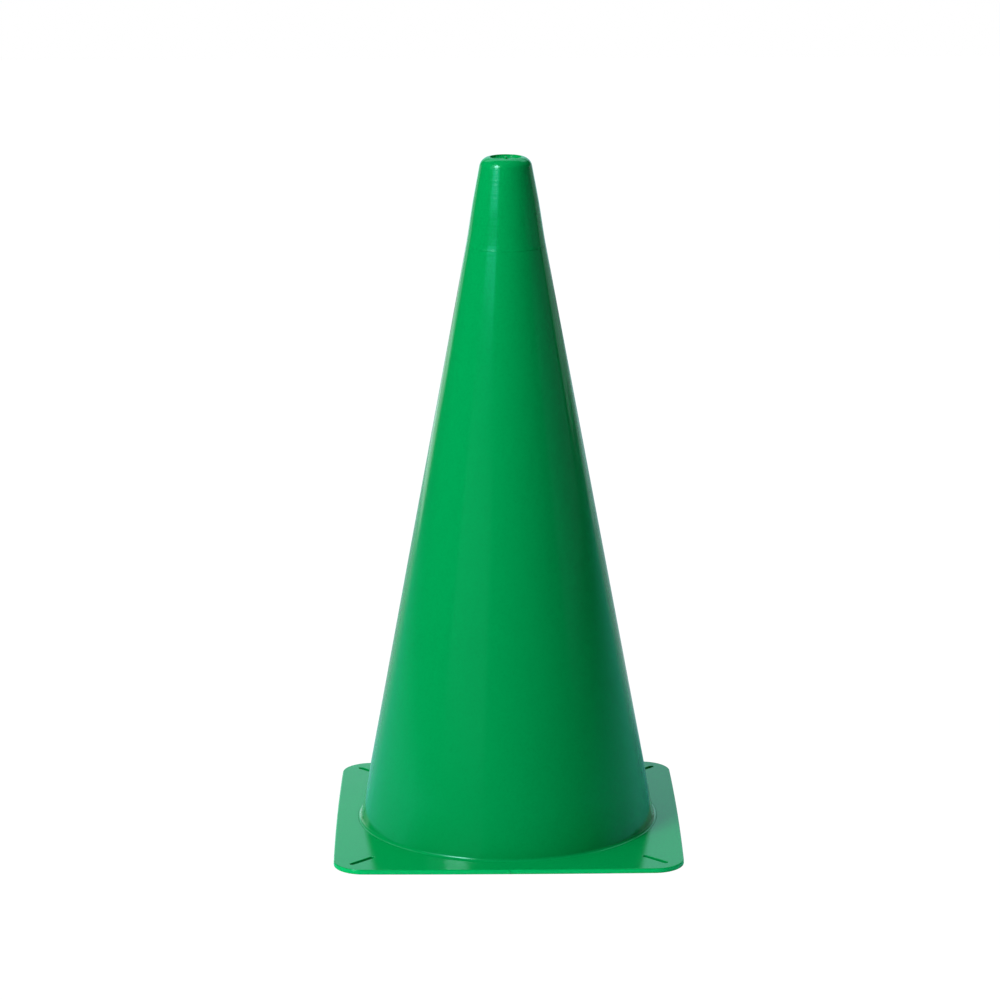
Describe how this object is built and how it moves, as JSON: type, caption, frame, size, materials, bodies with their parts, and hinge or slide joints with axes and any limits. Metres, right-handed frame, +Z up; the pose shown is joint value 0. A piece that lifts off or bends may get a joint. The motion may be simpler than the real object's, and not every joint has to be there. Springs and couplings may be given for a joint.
{
  "type": "traffic cone",
  "caption": "Tapered hollow plastic cone on a square base plate with a fixing slot at each rounded corner and a rounded, dished tip.",
  "frame": {"origin": "centre of the base plate's underside, on the cone's axis", "axes": "+Z up along the cone's axis, +X to the right and -Y to the front, square to the plate's sides"},
  "size_m": [0.23, 0.2305, 0.4505],
  "materials": {
    "plate_polyethylene": "gloss",
    "body_polyethylene": "gloss",
    "cap_polyethylene": "gloss, with fine turning rings"
  },
  "bodies": {
    "root": {"base_plate": "plate_polyethylene", "cone_body": "body_polyethylene", "tip_cap": "cap_polyethylene"}
  },
  "joints": []
}
